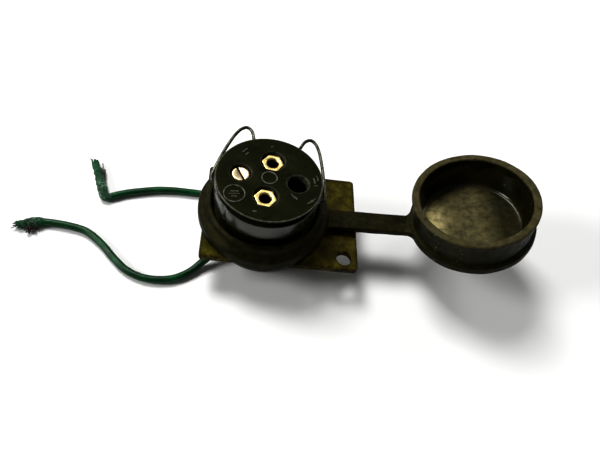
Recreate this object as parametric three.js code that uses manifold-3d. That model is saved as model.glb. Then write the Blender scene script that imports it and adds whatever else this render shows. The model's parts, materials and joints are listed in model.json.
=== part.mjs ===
// Two-pole panel socket outlet with a tethered rubber dust cap, a wire bail and two leads.
// Millimetres. The origin is on the insert's axis at the mounting plate's rear face.
// +Z points out of the insert towards the plug, and +X points along the strap towards the cap.

import * as THREE from 'three';
import { mergeVertices } from 'three/addons/utils/BufferGeometryUtils.js';
import Module from 'manifold-3d';

const wasm = await Module();
wasm.setup();

const deg = Math.PI / 180;
const roundSides = 48;   // sides on the large turned pieces
const smallSides = 16;   // sides on screws, sleeves and holes
const gap = 0.3;         // clearance between pieces that touch

// Mounting plate
const plateLeft = -26.1;
const plateRight = 42.3;
const plateHalfWidth = 25.1;
const plateThickness = 3;
const plateCorner = 2;
const plateOpeningR = 20.6;
const fixingHoleR = 3.35;
const fixingHoles = [[36.3, -19.5], [-20.1, 19.5]];

// Insert: a face cover over a body, with a groove between their rims
const insertR = 22.5;
const faceTop = 28.1;
const faceRim = 0.8;
const grooveBottom = 24.1;
const grooveR = 21.3;
const bandBottom = 15.7;
const neckR = 21.2;
const shoulder = 9;
const spigotR = 20.2;
const bodyRear = -3;
const holePattern = -6.8 * deg;   // the contacts' pattern is turned a little on the plate
const contactOffset = 9.75;
const keyOffset = 12.1;
const headRecessR = 5.25;
const screwRecessR = 4.55;
const keyHoleR = 4.3;
const keyHoleFloor = 13;

// Contact sleeves and their terminals
const sleeveHexR = 4.75;
const sleeveTop = 26.9;
const sleeveR = 3.3;
const sleeveBoreR = 2.25;
const sleeveMouthR = 3.2;
const sleeveBoreFloor = 8;
const sleeveShankBottom = 1;
const studR = 2.5;
const studBottom = -9.6;
const washerR = 4.4;
const washerThickness = 0.8;
const lockWasherR = 4;
const eyeWireR = 0.85;
const nutHexR = 4.6;
const nutThickness = 2.5;

// Long cover screw and its nut
const screwHeadR = 3.6;
const screwHeadTop = 27.3;
const screwSeat = 25.5;
const screwR = 2;
const screwEnd = -13.6;
const slotTurn = -62;    // degrees
const squareNutSide = 7;
const squareNutBottom = -13.4;
const squareNutTop = -11.2;

// Rear cover
const rearFloor = -14;
const rearR = 20.2;
const rearWall = 2.2;
const rearBossR = 5.6;
const leadSlotWidth = 4.6;
const leadSlotFloor = -9.4;
const leadExitHeight = -6.7;
const leadTerminalHeight = -5.1;

// Retaining ring behind the plate
const ringInnerR = 19.5;
const ringGrooveR = 19.1;
const ringOuterR = 22.6;
const ringTop = -0.3;
const ringThickness = 1.2;
const ringMouth = 34 * deg;

// Rubber seal boot
const bootFlangeR = 29;
const bootBottom = plateThickness + 0.2;
const bootLipR = spigotR + 0.3;

// Strap and cap
const strapWidth = 10;
const strapThickness = 3;
const strapY = -1.2;
const rootHinge = new THREE.Vector3(31, strapY, 5.5);
const capHinge = new THREE.Vector3(65, strapY, 6.8);
const rootGap = 0.3;
const capGap = 0.6;
const capBase = new THREE.Vector3(93.5, strapY, 12.35);
const capAxis = new THREE.Vector3(-0.248, 0.0676, 0.9664).normalize();
const capHeight = 18.1;
const capFlangeR = 27.5;
const capFlangeThickness = 4;
const capRimR = 27.1;
const capBoreR = 23.8;
const capFloor = 2.6;
const flareStart = 2.6;   // how far the flare runs out beyond the cap hinge's knuckle

// Wire bail
const bailWireR = 0.75;
const bailPivotHeight = 19;
const bailRest = 9.5 * deg;
const bailCrossR = 25.4;
const bailHoleR = 1.1;
const bailHoleFloor = 19.9;

// Leads
const leadR = 1.7;
const leadSides = 8;
const leadFloor = rearFloor + leadR;
const leadEndR = 2;
const leadEndFloor = rearFloor + leadEndR;
const leadStep = 7;

// ---------------------------------------------------------------- helpers

// A closed geometry as a manifold solid, with its faces pointing out
function solid(geometry) {
  const bare = geometry.clone();
  bare.deleteAttribute('normal');
  bare.deleteAttribute('uv');
  const merged = mergeVertices(bare, 1e-4);
  const index = merged.index.array;
  const p = merged.attributes.position.array;
  const a = new THREE.Vector3();
  const b = new THREE.Vector3();
  const c = new THREE.Vector3();
  let volume = 0;
  const triangles = [];
  for (let i = 0; i < index.length; i += 3) {
    const [u, v, w] = [index[i], index[i + 1], index[i + 2]];
    if (u === v || v === w || w === u) continue;
    a.fromArray(p, 3 * u);
    b.fromArray(p, 3 * v);
    c.fromArray(p, 3 * w);
    volume += a.dot(b.cross(c));
    triangles.push([u, v, w]);
  }
  const outward = triangles.map(([u, v, w]) => (volume < 0 ? [u, w, v] : [u, v, w]));
  const triVerts = new Uint32Array(outward.flat());
  return new wasm.Manifold(new wasm.Mesh({ numProp: 3, vertProperties: new Float32Array(p), triVerts }));
}

function geometryOf(manifold) {
  const mesh = manifold.getMesh();
  const geometry = new THREE.BufferGeometry();
  geometry.setAttribute('position', new THREE.BufferAttribute(new Float32Array(mesh.vertProperties), 3));
  geometry.setIndex(new THREE.BufferAttribute(new Uint32Array(mesh.triVerts), 1));
  geometry.computeVertexNormals();
  return geometry;
}

// A profile of [radius, height] pairs turned about the Z axis
function turned(profile, sides = roundSides) {
  const points = profile.map(([r, z]) => new THREE.Vector2(r, z));
  return solid(new THREE.LatheGeometry(points, sides).rotateX(Math.PI / 2));
}

function rod(r, bottom, top, sides = smallSides) {
  return turned([[0, bottom], [r, bottom], [r, top], [0, top]], sides);
}

function block(x, y, bottom, top) {
  return solid(new THREE.BoxGeometry(x, y, top - bottom).translate(0, 0, (bottom + top) / 2));
}

function prism(shape, bottom, top, curveSegments = 12) {
  const settings = { depth: top - bottom, bevelEnabled: false, curveSegments };
  return solid(new THREE.ExtrudeGeometry(shape, settings).translate(0, 0, bottom));
}

function hexagon(r) {
  const angles = [0, 60, 120, 180, 240, 300].map((a) => a * deg);
  return new THREE.Shape(angles.map((a) => new THREE.Vector2(r * Math.cos(a), r * Math.sin(a))));
}

// A round wire along a curve
function wire(curve, r, sides, steps) {
  const section = new THREE.Shape();
  for (let k = 0; k < sides; k += 1) {
    const angle = (2 * Math.PI * k) / sides;
    if (k === 0) section.moveTo(r * Math.cos(angle), r * Math.sin(angle));
    else section.lineTo(r * Math.cos(angle), r * Math.sin(angle));
  }
  section.closePath();
  return new THREE.ExtrudeGeometry(section, { extrudePath: curve, steps, curveSegments: 1 });
}

const object = new THREE.Group();

function add(name, shape, material, parent = object) {
  const geometry = shape instanceof THREE.BufferGeometry ? geometryOf(solid(shape)) : geometryOf(shape);
  const mesh = new THREE.Mesh(geometry, material);
  mesh.name = name;
  parent.add(mesh);
  return mesh;
}

function finish(color, roughness, metalness) {
  return new THREE.MeshStandardMaterial({ color, roughness, metalness });
}

const oliveSteel = finish(0x4a4016, 0.6, 0.2);
const rubber = finish(0x23220f, 0.75, 0);
const bakelite = finish(0x14150f, 0.3, 0);
const brass = finish(0xd9bb62, 0.3, 1);
const springSteel = finish(0x6d6a5c, 0.35, 1);
const blackSteel = finish(0x2c2a26, 0.5, 0.8);
const leadPvc = finish(0x14603a, 0.4, 0);
const darkCopper = finish(0x2a1c1a, 0.7, 0.6);

// Places on the turned hole pattern
function onPattern(u, v) {
  const [cos, sin] = [Math.cos(holePattern), Math.sin(holePattern)];
  return [u * cos - v * sin, u * sin + v * cos];
}
const contacts = [onPattern(0, contactOffset), onPattern(0, -contactOffset)];
const screwPlace = onPattern(-keyOffset, 0);
const keyPlace = onPattern(keyOffset, 0);

// ---------------------------------------------------------------- mounting plate

function makePlate() {
  const outline = new THREE.Shape();
  const [l, r, w, c] = [plateLeft, plateRight, plateHalfWidth, plateCorner];
  outline.moveTo(l + c, -w);
  outline.lineTo(r - c, -w);
  outline.absarc(r - c, -w + c, c, -90 * deg, 0, false);
  outline.lineTo(r, w - c);
  outline.absarc(r - c, w - c, c, 0, 90 * deg, false);
  outline.lineTo(l + c, w);
  outline.absarc(l + c, w - c, c, 90 * deg, 180 * deg, false);
  outline.lineTo(l, -w + c);
  outline.absarc(l + c, -w + c, c, 180 * deg, 270 * deg, false);
  let plate = prism(outline, 0, plateThickness, 4);
  plate = plate.subtract(rod(plateOpeningR, -1, plateThickness + 1, roundSides));
  for (const [x, y] of fixingHoles) {
    plate = plate.subtract(rod(fixingHoleR, -1, plateThickness + 1).translate([x, y, 0]));
  }
  return plate;
}

// ---------------------------------------------------------------- rubber boot, strap and cap

// The boot: a flange on the plate, a collar round the insert and the root of the strap
function makeBoot() {
  const profile = [
    [bootLipR, bootBottom], [bootFlangeR, bootBottom], [bootFlangeR, 7.4], [28.7, 8.3], [27.9, 8.9],
    [26.2, 9.9], [25.6, 10.6], [25.5, 12], [25.1, 12.5], [23.8, 12.5], [23.2, 12.1], [22.6, 10.4],
    [22.6, shoulder - 0.2], [bootLipR, shoulder - 0.2], [bootLipR, bootBottom],
  ];
  let boot = turned(profile);
  const [notchX, notchY] = fixingHoles[1];
  boot = boot.subtract(rod(fixingHoleR + 0.9, 0, 12).translate([notchX, notchY, 0]));
  const rootLength = rootHinge.x - strapThickness / 2 - rootGap - (bootFlangeR - 3);
  const half = strapThickness / 2;
  const root = block(rootLength, strapWidth, rootHinge.z - half, rootHinge.z + half);
  return boot.add(root.translate([bootFlangeR - 3 + rootLength / 2, strapY, 0]));
}

// The strap is a flat bar between the two hinges, round at its root and square at the cap's knuckle
function makeStrap() {
  const half = strapThickness / 2;
  const rise = Math.atan2(capHinge.z - rootHinge.z, capHinge.x - rootHinge.x);
  const length = Math.hypot(capHinge.z - rootHinge.z, capHinge.x - rootHinge.x);
  const side = new THREE.Shape();
  const end = length - half - capGap;
  side.moveTo(0, -half);
  side.lineTo(end, -half);
  side.lineTo(end, half);
  side.lineTo(0, half);
  side.absarc(0, 0, half, 90 * deg, 270 * deg, false);
  const bar = prism(side, -strapWidth / 2, strapWidth / 2, 6);
  return bar.rotate([90, 0, 0]).rotate([0, -rise / deg, 0]).translate(rootHinge.toArray());
}

// The cap stands on its base plane, in its own axes
function capShell() {
  const wallFoot = 25.7;
  const profile = [
    [0, 0], [27.1, 0], [capFlangeR, 0.4], [capFlangeR, capFlangeThickness - 0.4],
    [27.1, capFlangeThickness], [wallFoot, capFlangeThickness + 0.2], [26, 7], [26.6, 14], [capRimR, 16.6],
    [capRimR, capHeight - 0.3], [capRimR - 0.3, capHeight], [capBoreR + 0.2, capHeight],
    [capBoreR, capHeight - 0.3], [capBoreR - 0.5, 6.4], [22.7, 4.2], [21.4, 3], [19.4, capFloor],
    [0, capFloor],
  ];
  return turned(profile);
}

// Plan of the tongue that flares from the strap's width out to the cap's flange
function flarePlan(hingeX) {
  const plan = new THREE.Shape();
  const half = strapWidth / 2;
  const touch = 147 * deg;
  const touchX = capFlangeR * Math.cos(touch);
  const touchY = capFlangeR * Math.sin(touch);
  plan.moveTo(hingeX, -half);
  plan.bezierCurveTo(hingeX + flareStart, -half - 0.2, touchX - 2.6, -touchY + 4, touchX, -touchY);
  plan.lineTo(-20, -12);
  plan.lineTo(-20, 12);
  plan.lineTo(touchX, touchY);
  plan.bezierCurveTo(touchX - 2.6, touchY - 4, hingeX + flareStart, half + 0.2, hingeX, half);
  return plan;
}

function makeCap() {
  const upright = new THREE.Matrix4().makeBasis(
    new THREE.Vector3().crossVectors(new THREE.Vector3(0, 1, 0), capAxis).normalize(),
    new THREE.Vector3(0, 1, 0).addScaledVector(capAxis, -capAxis.y).normalize(),
    capAxis,
  ).setPosition(capBase);
  const hinge = capHinge.clone().applyMatrix4(upright.clone().invert());
  const half = strapThickness / 2;
  const tongue = prism(flarePlan(hinge.x), hinge.z - half, hinge.z + half, 8);
  const pin = rod(half, -strapWidth / 2, strapWidth / 2, 12);
  const knuckle = pin.rotate([90, 0, 0]).translate(hinge.toArray());
  const bore = rod(20.5, capFloor, capHeight, roundSides);
  const cap = capShell().add(tongue.add(knuckle).subtract(bore));
  return cap.transform(upright.toArray());
}

// ---------------------------------------------------------------- insert

function drilled(shape, radius, bottom, top, [x, y]) {
  return shape.subtract(rod(radius, bottom, top).translate([x, y, 0]));
}

function makeInsertCover() {
  const bottom = grooveBottom + gap;
  let cover = turned([
    [0, bottom], [grooveR, bottom], [grooveR, faceTop - faceRim], [insertR, faceTop - faceRim],
    [insertR, faceTop - 0.3], [insertR - 0.3, faceTop], [0, faceTop],
  ]);
  for (const place of contacts) {
    cover = drilled(cover, headRecessR, bottom - 1, faceTop + 1, place);
  }
  cover = drilled(cover, keyHoleR, bottom - 1, faceTop + 1, keyPlace);
  cover = drilled(cover, screwRecessR, screwSeat, faceTop + 1, screwPlace);
  return drilled(cover, screwR + gap, bottom - 1, faceTop, screwPlace);
}

function makeInsertBody() {
  let body = turned([
    [0, bodyRear], [spigotR, bodyRear], [spigotR, ringTop - ringThickness - 0.2],
    [ringGrooveR, ringTop - ringThickness - 0.2], [ringGrooveR, ringTop + 0.2], [spigotR, ringTop + 0.2],
    [spigotR, shoulder], [neckR, shoulder], [neckR, bandBottom - 0.4], [insertR, bandBottom],
    [insertR, grooveBottom], [0, grooveBottom],
  ]);
  for (const place of contacts) {
    body = drilled(body, sleeveR + gap, bodyRear - 1, grooveBottom + 1, place);
  }
  body = drilled(body, keyHoleR, keyHoleFloor, grooveBottom + 1, keyPlace);
  body = drilled(body, screwR + gap, bodyRear - 1, grooveBottom + 1, screwPlace);
  for (const side of [0, 180]) {
    const hole = rod(bailHoleR, bailHoleFloor, insertR + 1, 12).rotate([0, 90, 0]);
    body = body.subtract(hole.rotate([0, 0, side + holePattern / deg]).translate([0, 0, bailPivotHeight]));
  }
  return body;
}

// ---------------------------------------------------------------- contacts and terminals

function makeSleeve() {
  const head = prism(hexagon(sleeveHexR), grooveBottom + 0.2, sleeveTop);
  const shank = rod(sleeveR, sleeveShankBottom, grooveBottom + 1);
  const stud = rod(studR, studBottom, sleeveShankBottom + 1);
  const bore = rod(sleeveBoreR, sleeveBoreFloor, sleeveTop + 1);
  const mouth = turned([
    [0, sleeveTop - 1], [sleeveBoreR, sleeveTop - 1], [sleeveMouthR, sleeveTop + 0.1], [0, sleeveTop + 0.1],
  ], smallSides);
  return head.add(shank).add(stud).subtract(bore).subtract(mouth);
}

const washerTop = bodyRear - 0.1;
const eyeTop = washerTop - washerThickness - 0.15;
const eyeBottom = eyeTop - 2 * eyeWireR;
const lockWasherTop = eyeBottom - 0.15;
const terminalNutTop = lockWasherTop - washerThickness - 0.15;

function makeWasher(radius, top) {
  return rod(radius, top - washerThickness, top).subtract(rod(studR + gap, -20, 20));
}

// The lead's bared conductor, wound once round the stud
function makeEye() {
  const inner = studR + gap;
  const outer = inner + 2 * eyeWireR;
  const chamfer = 0.35;
  return turned([
    [inner, eyeBottom + chamfer], [inner + chamfer, eyeBottom], [outer - chamfer, eyeBottom],
    [outer, eyeBottom + chamfer], [outer, eyeTop - chamfer], [outer - chamfer, eyeTop],
    [inner + chamfer, eyeTop], [inner, eyeTop - chamfer], [inner, eyeBottom + chamfer],
  ], smallSides);
}

function makeTerminalNut() {
  const bore = rod(studR + gap, -20, 20);
  return prism(hexagon(nutHexR), terminalNutTop - nutThickness, terminalNutTop).subtract(bore);
}

// ---------------------------------------------------------------- cover screw, nut, ring and rear cover

function makeCoverScrew() {
  const head = turned([
    [0, screwSeat + 0.2], [screwHeadR, screwSeat + 0.2], [screwHeadR, screwHeadTop - 0.3],
    [screwHeadR - 0.4, screwHeadTop], [0, screwHeadTop],
  ], smallSides);
  const slot = block(10, 1, screwHeadTop - 0.9, screwHeadTop + 1).rotate([0, 0, slotTurn]);
  return head.add(rod(screwR, screwEnd, screwSeat + 1)).subtract(slot);
}

function makeSquareNut() {
  const nut = block(squareNutSide, squareNutSide, squareNutBottom, squareNutTop);
  return nut.subtract(rod(screwR + 0.2, -20, 20));
}

function makeRetainingRing() {
  const ring = new THREE.Shape();
  ring.absarc(0, 0, ringOuterR, ringMouth / 2, 2 * Math.PI - ringMouth / 2, false);
  ring.absarc(0, 0, ringInnerR, 2 * Math.PI - ringMouth / 2, ringMouth / 2, true);
  return prism(ring, ringTop - ringThickness, ringTop, 44);
}

function makeRearCover() {
  const top = bodyRear - gap;
  const shell = turned([
    [0, rearFloor], [rearR - 1, rearFloor], [rearR, rearFloor + 1], [rearR, top], [rearR - rearWall, top],
    [rearR - rearWall, rearFloor + 2], [0, rearFloor + 2],
  ]);
  const [x, y] = screwPlace;
  const boss = rod(rearBossR, rearFloor + 1, top).translate([x, y, 0]);
  const pocketSide = squareNutSide + 0.5;
  const pocket = block(pocketSide, pocketSide, rearFloor - 1, squareNutTop + 0.2).translate([x, y, 0]);
  let cover = shell.add(boss).subtract(pocket);
  cover = drilled(cover, screwR + gap, rearFloor - 1, top + 1, screwPlace);
  for (const points of [upperLead, lowerLead]) {
    const out = new THREE.Vector2(points[2][0] - points[1][0], points[2][1] - points[1][1]);
    const slot = block(9, leadSlotWidth, leadSlotFloor, 0).rotate([0, 0, out.angle() / deg]);
    cover = cover.subtract(slot.translate([points[1][0], points[1][1], 0]));
  }
  return cover;
}

// ---------------------------------------------------------------- wire bail

// One half of the bail in its own plane, from the middle of the cross bar to the end of the hook.
// The first number is across the insert, the second is out from the pivots' line.
const bailHalf = [
  [8.6, 23.9], [10.3, 24.9], [11.2, 27.2], [12.4, 29.4], [14.6, 30.6], [16.9, 29.2], [18.8, 26], [20.6, 20.9],
  [22.3, 14.6], [23.6, 8.5], [24.5, 3.4], [24.5, 1.3], [23.6, 0.15], [22.2, 0], [20.6, 0],
];

function makeBail() {
  const crossBar = [0, 7, 14].map((a) => [bailCrossR * Math.sin(a * deg), bailCrossR * Math.cos(a * deg)]);
  const right = [...crossBar, ...bailHalf];
  const left = right.slice(1).map(([u, s]) => [-u, s]).reverse();
  const rise = [Math.cos(bailRest), Math.sin(bailRest)];
  const points = [...left, ...right].map(([u, s]) => new THREE.Vector3(u, s * rise[0], s * rise[1]));
  const curve = new THREE.CatmullRomCurve3(points, false, 'centripetal');
  return wire(curve, bailWireR, 8, 90).rotateZ(holePattern).translate(0, 0, bailPivotHeight);
}

// ---------------------------------------------------------------- leads

// Each lead starts at its terminal, leaves through a slot in the rear cover and lies on the surface behind.
const upperLead = [
  [-4.2, 10, leadTerminalHeight], [-15.5, 11.6, leadExitHeight], [-20.5, 14.6, -8.1], [-24.6, 18, -10.4],
  [-29.5, 20, leadFloor + 0.1], [-35.5, 20.3, leadFloor], [-42.5, 20.3, leadFloor], [-50, 19.6, leadFloor],
  [-57.2, 17.9, leadFloor], [-64.2, 15.8, leadFloor], [-68.5, 13.9, leadFloor], [-70.6, 12.8, leadFloor],
];
const lowerLead = [
  [-6.6, -9.9, leadTerminalHeight], [-15.2, -12.4, leadExitHeight], [-19.4, -15, -8.2], [-24.3, -18.7, -10.9],
  [-29.5, -23.9, leadFloor + 0.1], [-35.9, -27.9, leadFloor], [-42.5, -29.3, leadFloor],
  [-49.4, -28.9, leadFloor], [-56.6, -25.9, leadFloor], [-62.7, -20.7, leadFloor],
  [-69.1, -14, leadFloor], [-77.3, -7.9, leadFloor], [-84.6, -5.9, leadFloor],
  [-91.7, -5.1, leadFloor], [-96.4, -5, leadFloor],
];

// Their torn ends lie on the surface too.
const upperEnd = [
  [-71, 12.6, leadEndFloor], [-72.6, 11.9, leadEndFloor], [-74, 13.4, leadEndFloor],
  [-76.5, 20.3, leadEndFloor], [-78.5, 25, leadEndFloor], [-82.2, 33, leadEndFloor],
];
const lowerEnd = [[-96.9, -5.05, leadEndFloor], [-101, -6.2, leadEndFloor], [-106.8, -8.1, leadEndFloor]];

function routeOf(points) {
  return new THREE.CatmullRomCurve3(points.map((p) => new THREE.Vector3(...p)), false, 'centripetal');
}

function makeLead(points) {
  const curve = routeOf(points);
  return wire(curve, leadR, leadSides, Math.round(curve.getLength() / leadStep * 2));
}

// A short torn end of sheath with its strands
function makeLeadEnd(points) {
  return wire(routeOf(points), leadEndR, leadSides, 10);
}

// ---------------------------------------------------------------- assembly

add('mounting_plate', makePlate(), oliveSteel);
add('seal_boot', makeBoot(), rubber);
add('cap_strap', makeStrap(), rubber);
add('dust_cap', makeCap(), rubber);
add('insert_cover', makeInsertCover(), bakelite);
add('insert_body', makeInsertBody(), bakelite);
contacts.forEach(([x, y], k) => {
  const terminal = new THREE.Group();
  terminal.position.set(x, y, 0);
  terminal.rotation.z = holePattern;
  object.add(terminal);
  add(`contact_sleeve_${k + 1}`, makeSleeve(), brass, terminal);
  add(`terminal_washer_${k + 1}`, makeWasher(washerR, washerTop), brass, terminal);
  add(`lead_eye_${k + 1}`, makeEye(), darkCopper, terminal);
  add(`lock_washer_${k + 1}`, makeWasher(lockWasherR, lockWasherTop), blackSteel, terminal);
  add(`terminal_nut_${k + 1}`, makeTerminalNut(), brass, terminal);
});
add('cover_screw', makeCoverScrew(), brass).position.set(screwPlace[0], screwPlace[1], 0);
add('cover_screw_nut', makeSquareNut(), blackSteel).position.set(screwPlace[0], screwPlace[1], 0);
add('retaining_ring', makeRetainingRing(), blackSteel);
add('rear_cover', makeRearCover(), bakelite);
add('bail_wire', makeBail(), springSteel);
add('lead_upper', makeLead(upperLead), leadPvc);
add('lead_lower', makeLead(lowerLead), leadPvc);
add('lead_end_upper', makeLeadEnd(upperEnd), leadPvc);
add('lead_end_lower', makeLeadEnd(lowerEnd), leadPvc);

export default object;
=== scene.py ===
"""Looks of a two-pole panel socket with a tethered rubber cap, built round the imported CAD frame. Metres."""

import json
import math
import random

import bmesh
import bpy
from mathutils import Matrix, Vector, noise


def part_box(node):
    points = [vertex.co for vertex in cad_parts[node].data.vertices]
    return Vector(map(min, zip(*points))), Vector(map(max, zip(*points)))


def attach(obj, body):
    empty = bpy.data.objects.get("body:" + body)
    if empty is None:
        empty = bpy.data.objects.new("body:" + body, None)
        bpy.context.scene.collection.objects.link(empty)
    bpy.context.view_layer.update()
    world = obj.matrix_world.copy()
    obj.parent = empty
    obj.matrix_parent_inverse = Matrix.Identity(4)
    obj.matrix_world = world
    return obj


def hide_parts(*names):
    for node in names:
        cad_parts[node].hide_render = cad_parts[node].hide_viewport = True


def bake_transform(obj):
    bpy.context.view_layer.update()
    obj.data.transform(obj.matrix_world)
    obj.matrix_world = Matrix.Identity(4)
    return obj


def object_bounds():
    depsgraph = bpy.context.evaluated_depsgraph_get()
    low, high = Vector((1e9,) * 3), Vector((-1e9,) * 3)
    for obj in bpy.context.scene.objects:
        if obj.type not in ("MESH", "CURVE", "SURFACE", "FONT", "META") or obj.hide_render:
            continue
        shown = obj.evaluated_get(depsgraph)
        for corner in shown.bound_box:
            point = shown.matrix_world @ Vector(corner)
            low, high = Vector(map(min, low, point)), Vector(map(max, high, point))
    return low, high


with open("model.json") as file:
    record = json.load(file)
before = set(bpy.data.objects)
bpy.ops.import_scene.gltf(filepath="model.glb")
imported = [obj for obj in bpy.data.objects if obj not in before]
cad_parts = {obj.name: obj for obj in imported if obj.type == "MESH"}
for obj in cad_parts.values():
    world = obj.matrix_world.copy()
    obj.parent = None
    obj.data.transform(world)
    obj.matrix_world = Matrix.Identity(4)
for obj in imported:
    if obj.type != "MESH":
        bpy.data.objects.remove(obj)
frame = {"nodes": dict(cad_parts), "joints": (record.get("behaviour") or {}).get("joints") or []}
cad_lo, cad_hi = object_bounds()

# ---------------------------------------------------------------- sizes

FLOOR_LEVEL = cad_lo.z
plate_lo, plate_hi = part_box("mounting_plate")
cover_lo, cover_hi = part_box("insert_cover")
boot_lo, boot_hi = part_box("seal_boot")
PLATE_TOP = plate_hi.z
FACE_TOP = cover_hi.z
FACE_RADIUS = cover_hi.x
BOOT_RADIUS = boot_hi.y
joints = {joint["name"]: joint for joint in frame["joints"]}
ROOT_HINGE = Vector(joints["strap_root"]["pos_m"])
CAP_HINGE = Vector(joints["strap_cap"]["pos_m"])
BAIL_PIVOT = joints["bail_swing"]["pos_m"][2]
PATTERN_TURN = math.atan2(joints["bail_swing"]["axis"][1], joints["bail_swing"]["axis"][0])

# Insert
GROOVE_BOTTOM = 0.0241
GROOVE_RADIUS = 0.0213
BAND_BOTTOM = 0.0157
NECK_RADIUS = 0.0212
SHOULDER = 0.009
CONTACT_OFFSET = 0.00975
KEY_OFFSET = 0.0121
HEAD_RECESS = 0.00525
SCREW_RECESS = 0.00455
KEY_HOLE = 0.0043
KEY_FLOOR = 0.013
KEY_ROUNDING = 0.0009
HOLE_ROUNDING = 0.00035
BODY_RADIUS = 0.0202
BODY_REAR = -0.003
SLEEVE_POCKET = 0.0036
SCREW_POCKET = 0.0023
POCKET_FLOOR = 0.002
BAIL_HOLE = 0.0011
BAIL_HOLE_START = 0.0199
BAIL_HOLE_END = 0.0235
FLUTE_DEPTH = 0.022
FLUTE_SPREAD = 0.05
FLUTE_TURN = math.radians(-141)

# Contact sleeves and the cover screw
HEX_RADIUS = 0.00475
SLEEVE_TOP = 0.0269
SLEEVE_BORE = 0.00225
SLEEVE_FLOOR = 0.008
SHANK_RADIUS = 0.0033
SHANK_END = 0.001
STUD_RADIUS = 0.0025
STUD_END = -0.0096
SCREW_HEAD = 0.0036
SCREW_TOP = 0.0273
SCREW_SEAT = 0.0257
SCREW_SHANK = 0.002
SCREW_END = -0.0136
SLOT_SIZE = (0.009, 0.0010, 0.0022)
SLOT_TURN = math.radians(-62)

# Raised marks on the face; a bar is (x, y, length, turn)
MARK_WIDTH = 0.0005
MARK_HEIGHT = 0.0003
SIDE_RING = 0.00425
SIDE_RING_PLACE = (-0.0138, -0.0100)
SIDE_RING_TURN = 0.12
CENTRE_RING = 0.00315
CENTRE_RING_PLACE = (0.0, 0.0001)
FACE_BARS = [
    (-0.0110, 0.0140, 0.0030, 0.9), (-0.0100, 0.0122, 0.0022, 0.9), (0.0202, 0.0026, 0.0028, 1.8),
    (0.0188, 0.0010, 0.0030, 1.8), (0.0196, -0.0016, 0.0018, 0.2), (0.0184, -0.0092, 0.0028, 0.6),
    (0.0172, -0.0106, 0.0034, 0.6), (0.0100, -0.0084, 0.0030, 2.2), (0.0112, -0.0092, 0.0018, 2.2),
    (-0.0052, -0.0180, 0.0018, 0.1), (0.0006, 0.0176, 0.0014, 0.4),
]

# Plate
FIXING_RADIUS = 0.00335
FIXING_HOLES = [(0.0363, -0.0195), (-0.0201, 0.0195)]
OPENING_RADIUS = 0.0206
PLATE_CORNER = 0.002
PLATE_EDGE = 0.0004

# Rubber boot, strap and cap
BOOT_BORE = 0.0205
BOOT_SAG = 0.42
STRAP_WIDTH = 0.010
STRAP_THICKNESS = 0.003
STRAP_Y = ROOT_HINGE.y
CAP_BASE = Vector((0.0935, STRAP_Y, 0.01235))
CAP_AXIS = Vector((-0.248, 0.0676, 0.9664)).normalized()
CAP_HEIGHT = 0.0181
CAP_FLANGE = 0.0275
FLANGE_THICKNESS = 0.004
FLARE_TOUCH = math.radians(147)
CAP_MOUTH = 0.0238
CAP_FLOOR_EDGE = 0.0228
RUBBER_VOXEL = 0.00036
UNEVEN_AMOUNT = 0.00014
UNEVEN_SCALE = 130

# Wire bail
BAIL_WIRE = 0.00075
BAIL_REST = math.radians(9.5)
BAIL_CROSS = 0.0254

# Leads
LEAD_RADIUS = 0.0017
LEAD_LEVEL = FLOOR_LEVEL + LEAD_RADIUS
END_LEVEL = FLOOR_LEVEL + 0.002
STRAND_RADIUS = 0.00021

random_state = random.Random(7)

# ---------------------------------------------------------------- camera

CAMERA_PLACE = Vector((-0.014154, -0.15698, 0.210843))
CAMERA_TURNS = (-0.1989, 0.6443, 0.2599)
SENSOR_WIDTH = 36
FOCAL_LENGTH = 34.86


def make_camera():
    data = bpy.data.cameras.new("camera")
    data.sensor_width = SENSOR_WIDTH
    data.lens = FOCAL_LENGTH
    data.clip_start = 0.01
    camera = bpy.data.objects.new("camera", data)
    bpy.context.scene.collection.objects.link(camera)
    first, tilt, last = CAMERA_TURNS
    turn = Matrix.Rotation(first, 4, "Z") @ Matrix.Rotation(tilt, 4, "X") @ Matrix.Rotation(last, 4, "Z")
    camera.matrix_world = Matrix.Translation(CAMERA_PLACE) @ turn
    bpy.context.scene.camera = camera


make_camera()

# ---------------------------------------------------------------- mesh helpers


def link(mesh, name, material):
    piece = bpy.data.objects.new(name, mesh)
    bpy.context.scene.collection.objects.link(piece)
    mesh.materials.clear()
    mesh.materials.append(material)
    return piece


def mesh_of(bm, name, sharp_angle=32):
    bmesh.ops.recalc_face_normals(bm, faces=bm.faces)
    mesh = bpy.data.meshes.new(name)
    bm.to_mesh(mesh)
    bm.free()
    mesh.shade_smooth()
    mesh.set_sharp_from_angle(angle=math.radians(sharp_angle))
    return mesh


def rounded(corners, closed=False, steps=5):
    """The corners are (a, b, fillet) triples; each fillet becomes a short curve."""
    points = []
    count = len(corners)
    for k, (a, b, fillet) in enumerate(corners):
        here = Vector((a, b))
        ends = not closed and k in (0, count - 1)
        if fillet == 0 or ends:
            points.append(here)
            continue
        before = Vector(corners[k - 1][:2]) - here
        after = Vector(corners[(k + 1) % count][:2]) - here
        reach = min(fillet, 0.48 * before.length, 0.48 * after.length)
        start = here + reach * before.normalized()
        end = here + reach * after.normalized()
        for step in range(steps + 1):
            t = step / steps
            points.append((1 - t) ** 2 * start + 2 * t * (1 - t) * here + t * t * end)
    return points


def bridge(bm, rows):
    """Faces between rows of vertices; a row of one vertex is a pole."""
    for low, high in zip(rows, rows[1:]):
        count = max(len(low), len(high))
        for k in range(count):
            nxt = (k + 1) % count
            corners = [low[k % len(low)], low[nxt % len(low)], high[nxt % len(high)], high[k % len(high)]]
            unique = list(dict.fromkeys(corners))
            if len(unique) > 2:
                bm.faces.new(unique)


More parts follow.
